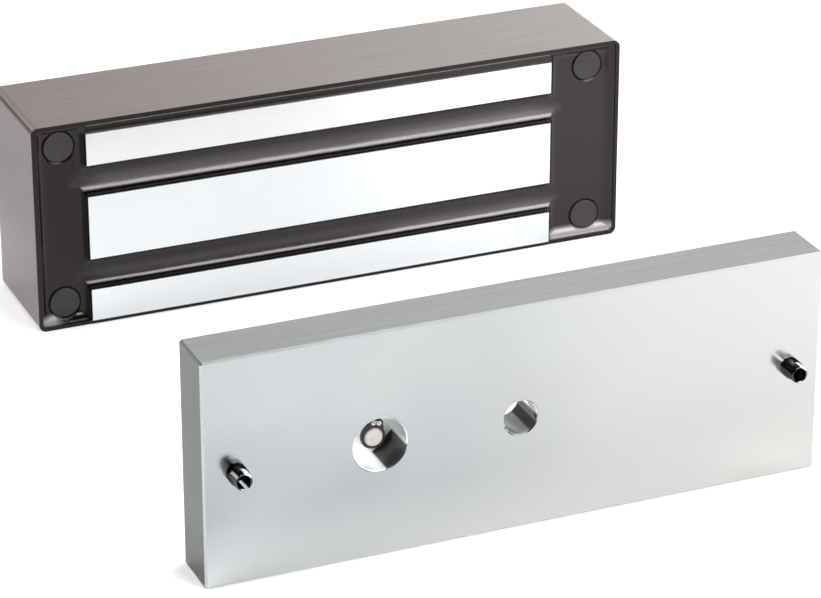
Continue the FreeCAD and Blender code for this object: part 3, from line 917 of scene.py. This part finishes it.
# %% [markdown]
# ## Small parts
#
# The plugs are matt moulded plastic with a fine grain. The pins are oiled black spring steel, with a
# pale, less metallic painted highlight on one flank of the nose. The ring is phosphated, which is
# blacker and duller, and round its two holes it is painted near white, a painted highlight for the
# light that shows through them. The plunger is turned: its rings are about its axis, so a ring wave
# is centred on it with a Mapping node. Two functions cover them, one for an even grain and one for
# turned metal, and the painted highlights are blended in afterwards.

# %% Grained and turned finishes
WAVE_PERIOD = 0.314             # a Wave texture of scale 1 repeats after this length
PATCH_SIZE, PATCH_LIGHTER = 20, 1.35    # of the patches, against the grain and the colour


def grained(name, colour, roughness, grain, depth, metallic=0.0, sheen=0.5):
    """A moulded or coated finish with an even grain."""
    finish = new_finish(name, colour, metallic, roughness)
    feed(finish, "Specular IOR Level", sheen)
    grains = noise_at(finish, place_of(finish), grain, detail=3.0, roughness=0.6)
    patch = noise_at(finish, place_of(finish), grain / PATCH_SIZE)
    lighter = tuple(min(1.0, part * PATCH_LIGHTER) for part in colour)
    feed(finish, "Base Color", blend_colours(finish, spread(finish, patch, 0, 1), colour, lighter))
    feed(finish, "Roughness", spread(finish, grains, roughness - 0.04, roughness + 0.06))
    raise_by(finish, grains, depth, strength=0.5)
    return finish


def turned_metal(name, colour, roughness, x, z, pitch):
    """A metal turned about the line along Y through x and z."""
    finish = new_finish(name, colour, 1.0, roughness)
    centred = place_of(finish, shift=(-x, 0, -z))
    rings = ring_waves(finish, centred, WAVE_PERIOD / pitch, distortion=0.6)
    patch = noise_at(finish, centred, scale=900.0, detail=3.0)
    darker = tuple(part * 0.8 for part in colour)
    feed(finish, "Base Color", blend_colours(finish, spread(finish, patch, 0, 1), darker, colour))
    feed(finish, "Roughness", spread(finish, patch, roughness - 0.05, roughness + 0.08))
    raise_by(finish, rings, 0.01 * MM, strength=0.4)
    return finish


def paint_highlight_over(finish, mask, colour):
    """Blends a painted highlight colour over the finish's own where the mask is 1."""
    own_colour = shader_of(finish).inputs["Base Color"].links[0].from_socket
    feed(finish, "Base Color", blend_colours(finish, mask, own_colour, colour))


print("grained and turned finishes ready")

# %% Plugs and ring
# Painted highlights: near white round the ring's ear holes, pale on one flank of each pin.
PAINTED_EAR_HIGHLIGHT, PAINTED_PIN_HIGHLIGHT = (0.9, 0.9, 0.9), (0.85, 0.85, 0.85)
EAR_HIGHLIGHT_RIM = 0.04 * MM            # how far the painted highlight reaches past the ear holes
plug_plastic = grained("matt_plug_plastic", (0.018, 0.0142, 0.0146), 0.5, 5000.0, 0.01 * MM, sheen=0.4)
ring_steel = grained("phosphated_ring", (0.009, 0.009, 0.009), 0.3, 4000.0, 0.01 * MM, sheen=0.28)
ring_turn = math.radians(RING_TURN)
# A painted highlight round both ear holes.
glinting = 0.0
for side in (-1, 1):
    ear_x = rod_x + side * EAR_SIDE * math.cos(ring_turn) + EAR_UP * math.sin(ring_turn)
    ear_z = rod_z - side * EAR_SIDE * math.sin(ring_turn) + EAR_UP * math.cos(ring_turn)
    glinting = larger(ring_steel, glinting, near_axis(ring_steel, ear_x, ear_z, EAR_HOLE + EAR_HIGHLIGHT_RIM))
paint_highlight_over(ring_steel, glinting, PAINTED_EAR_HIGHLIGHT)
print("ring bare round its ears, turned by", RING_TURN, "degrees")

# %% Pins, plunger, spring and bush
# Where the painted highlight lies on each pin's nose, and how metallic it is.
HIGHLIGHT_ANGLE, HIGHLIGHT_REACH, HIGHLIGHT_LENGTH, HIGHLIGHT_METAL = 52, 2.0 * MM, 3.1 * MM, 0.2
PIN_AREA = 3 * MM                       # keeps each pin's mask away from the other pin
PLUNGER_PITCH = 0.35 * MM

pin_steel = grained("oiled_pin_steel", (0.06, 0.056, 0.055), 0.12, 2500.0, 0.005 * MM, metallic=1.0)
# A painted highlight on the upper right flank of each nose.
flank = 0.0
for node in pins:
    axis = middle_of(node)
    own_flank = times(pin_steel, near_axis(pin_steel, *axis, PIN_AREA),
                      side_of_bore(pin_steel, *axis, HIGHLIGHT_ANGLE, HIGHLIGHT_REACH))
    flank = larger(pin_steel, flank, own_flank)
pin_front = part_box("guide_pin_left")[0].y
highlighted = times(pin_steel, flank, in_front_of(pin_steel, pin_front + HIGHLIGHT_LENGTH))
paint_highlight_over(pin_steel, highlighted, PAINTED_PIN_HIGHLIGHT)
feed(pin_steel, "Metallic", blend_values(pin_steel, highlighted, 1.0, HIGHLIGHT_METAL))
plunger_steel = turned_metal("turned_plunger_steel", (0.5, 0.455, 0.448), 0.35, *rod_axis, PLUNGER_PITCH)
spring_steel = brushed_metal("drawn_spring_wire", (0.5, 0.5, 0.5), (0.62, 0.62, 0.62), 0.25,
                             (900, 900, 900), 0.005 * MM)
bush_rubber = grained("outlet_rubber", (0.02, 0.02, 0.02), 0.6, 3000.0, 0.03 * MM)
print("small parts' finishes ready, pins scuffed over", round(HIGHLIGHT_LENGTH / MM, 1), "mm")

# %% [markdown]
# ## Inside pieces
#
# Nobody sees the bobbin, the winding and its leads, but whoever takes the lock apart should find them
# finished. The winding goes round the middle leg, so its wave runs along Y, one band for each turn.

# %% Finishes of the inside
bobbin_nylon = grained("bobbin_nylon", (0.62, 0.58, 0.48), 0.45, 2500.0, 0.02 * MM)
suppressor_coat = grained("suppressor_coating", (0.03, 0.12, 0.4), 0.3, 1500.0, 0.03 * MM)
lead_copper = brushed_metal("bare_lead_copper", (0.72, 0.36, 0.2), (0.82, 0.45, 0.28), 0.3,
                            (4000, 200, 4000), 0.005 * MM)
winding_copper = new_finish("enamelled_winding", (0.55, 0.2, 0.08), 0.6, 0.3)
BANDS_EVERY_HALF_MM = 630.0
waves = {"Vector": place_of(winding_copper), "Scale": BANDS_EVERY_HALF_MM, "Distortion": 0.4}
turns = add_node(winding_copper, "TexWave", waves, bands_direction="Y").outputs["Fac"]
# Each turn is painted darker where it meets the next and lighter on its crown, a painted shade that follows
# the bump.
turn_shade_tint = blend_colours(winding_copper, turns, (0.2, 0.06, 0.03), (0.62, 0.25, 0.1))
feed(winding_copper, "Base Color", turn_shade_tint)
raise_by(winding_copper, turns, 0.2 * MM, strength=0.8)
print("inside finishes ready")

# %% [markdown]
# ## Giving each piece its finish
#
# A CAD node keeps its mesh. Only the materials in its slots change. The pieces of this script take the
# finish of the node that they stand for.

# %% Hand out the finishes
finishes = {
    "housing": tray_steel, "core": pole_steel, "potting": resin, "armature_plate": zinc,
    "plunger_guide": guide_steel, "release_plunger": plunger_steel, "lead_grommet": bush_rubber,
    "bobbin": bobbin_nylon, "coil_winding": winding_copper, "coil_lead_start": lead_copper,
    "coil_lead_finish": lead_copper, "surge_suppressor": suppressor_coat, "guide_pin_left": pin_steel,
    "guide_pin_right": pin_steel, "retaining_ring": ring_steel, "plunger_spring": spring_steel,
}
for node in plug_caps:
    finishes[node] = plug_plastic


def wear(piece, finish):
    """Puts one finish on the whole piece."""
    piece.data.materials.clear()
    piece.data.materials.append(finish)


own_pieces = {**plug_caps, **pins, "retaining_ring": ring, "plunger_spring": coil}
for node, piece in (*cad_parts.items(), *own_pieces.items()):
    wear(piece, finishes[node])
print("finished nodes:", len(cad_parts), "and own pieces:", len(own_pieces))

# %% [markdown]
# ## Floor and light
#
# The photo was taken on a white sweep. A large pale floor stands for it. Bright metal shows what is
# around it: the pole bars and the plate's face show the floor before them, and the upper edges show
# what stands behind. So the surroundings are pale grey at the back, lighter at the right, and dark on
# the viewer's side.

# %% The floor
pick_nothing()
bpy.ops.mesh.primitive_plane_add(size=8, location=(0, 0, 0))
floor = bpy.context.object
floor.name = "studio_floor"
settle(floor)
FLOOR, FLOOR_LIGHT = (0.9, 0.9, 0.9), (0.92, 0.92, 0.92)
floor_paint = new_finish("pale_floor", FLOOR, 0.0, 0.7)
floor_patches = noise_at(floor_paint, place_of(floor_paint), scale=3.0)
feed(floor_paint, "Base Color", blend_colours(floor_paint, floor_patches, FLOOR, FLOOR_LIGHT))
feed(floor_paint, "Specular IOR Level", 0.1)
wear(floor, floor_paint)
print("floor laid")

# %% The surroundings
FRONT_LIGHT, BACK_LIGHT = 0.03, 0.8     # towards the viewer and away from them
LEFT_SHARE, RIGHT_SHARE = 0.55, 1.0     # and how much of it at the left and at the right
TURN_BACK = (-0.35, 0.35)               # where the light changes from front to back
TURN_RIGHT = (0.2, 0.42)                # and from left to right
world = bpy.data.worlds.new("studio")
bpy.context.scene.world = world
world.use_nodes = True
way = add_node(world, "SeparateXYZ", {"Vector": add_node(world, "TexCoord").outputs["Generated"]})
light = times(world, spread(world, way.outputs["Y"], FRONT_LIGHT, BACK_LIGHT, *TURN_BACK),
              spread(world, way.outputs["X"], LEFT_SHARE, RIGHT_SHARE, *TURN_RIGHT))
connect(world, light, world.node_tree.nodes["Background"].inputs["Color"])
print("surroundings from", FRONT_LIGHT, "in front to", BACK_LIGHT, "behind")

# %% [markdown]
# Two soft boxes light the floor, one above and one at the right, which makes the plate brighter
# towards the right. A third stands low in front, at the right of the camera. The resin between the
# pole bars is hollow, like a trough, and shows that box as a thin bright line. A wider weak sheet
# stands below it and lights the foot of the resin pools. The last box, at the left and behind, lights
# the left ends of both units and the floor beside them.

# %% The lamps


def soft_box(name, place, aim, width, depth, power):
    """A rectangular lamp that looks at a point."""
    bpy.ops.object.light_add(type="AREA", location=place)
    lamp = bpy.context.object
    lamp.name = name
    lamp.data.shape = "RECTANGLE"
    lamp.data.size, lamp.data.size_y = width, depth
    lamp.data.energy = power
    lamp.rotation_euler = (Vector(aim) - Vector(place)).to_track_quat("-Z", "Y").to_euler()


pick_nothing()
soft_box("box_above", place=(-0.05, -0.2, 1.3), aim=(0, 0, 0), width=1.3, depth=0.5, power=9.4)
soft_box("box_right", place=(0.5, 0.0, 0.95), aim=(0.05, 0, 0), width=0.7, depth=0.7, power=6.1)
soft_box("box_low", place=(0.47, -1.08, 0.5), aim=(0, 0.05, 0.03), width=0.6, depth=0.32, power=12.5)
soft_box("sheet_low", place=(0.52, -1.22, 0.2), aim=(0, 0.05, 0.03), width=0.9, depth=0.4, power=3.5)
soft_box("box_left", place=(-0.85, 0.35, 0.5), aim=(-0.12, 0.1, 0), width=0.7, depth=0.6, power=9.5)

# %% [markdown]
# ## Camera
#
# The photo's upright edges are parallel, so it was taken from far away with a long lens. The camera's
# place and lens come from matching the box corners of both units to the photo.

# %% The camera
CAMERA_PLACE = (-0.36969, -0.87412, 0.46052)
CAMERA_YAW, CAMERA_PITCH = math.radians(22.945), math.radians(24.740)
SENSOR_WIDTH, LENS = 36, 158.9          # in millimetres, as cameras have them
NEAREST, FARTHEST = 0.05, 20
pick_nothing()
bpy.ops.object.camera_add(location=CAMERA_PLACE, rotation=(QUARTER_TURN - CAMERA_PITCH, 0, -CAMERA_YAW))
camera = bpy.context.object
camera.name = "photo_camera"
camera.data.sensor_width = SENSOR_WIDTH
camera.data.lens = LENS
camera.data.clip_start, camera.data.clip_end = NEAREST, FARTHEST
bpy.context.scene.camera = camera
bpy.context.scene.view_settings.view_transform = "Standard"
print("camera at", CAMERA_PLACE, "lens", LENS)
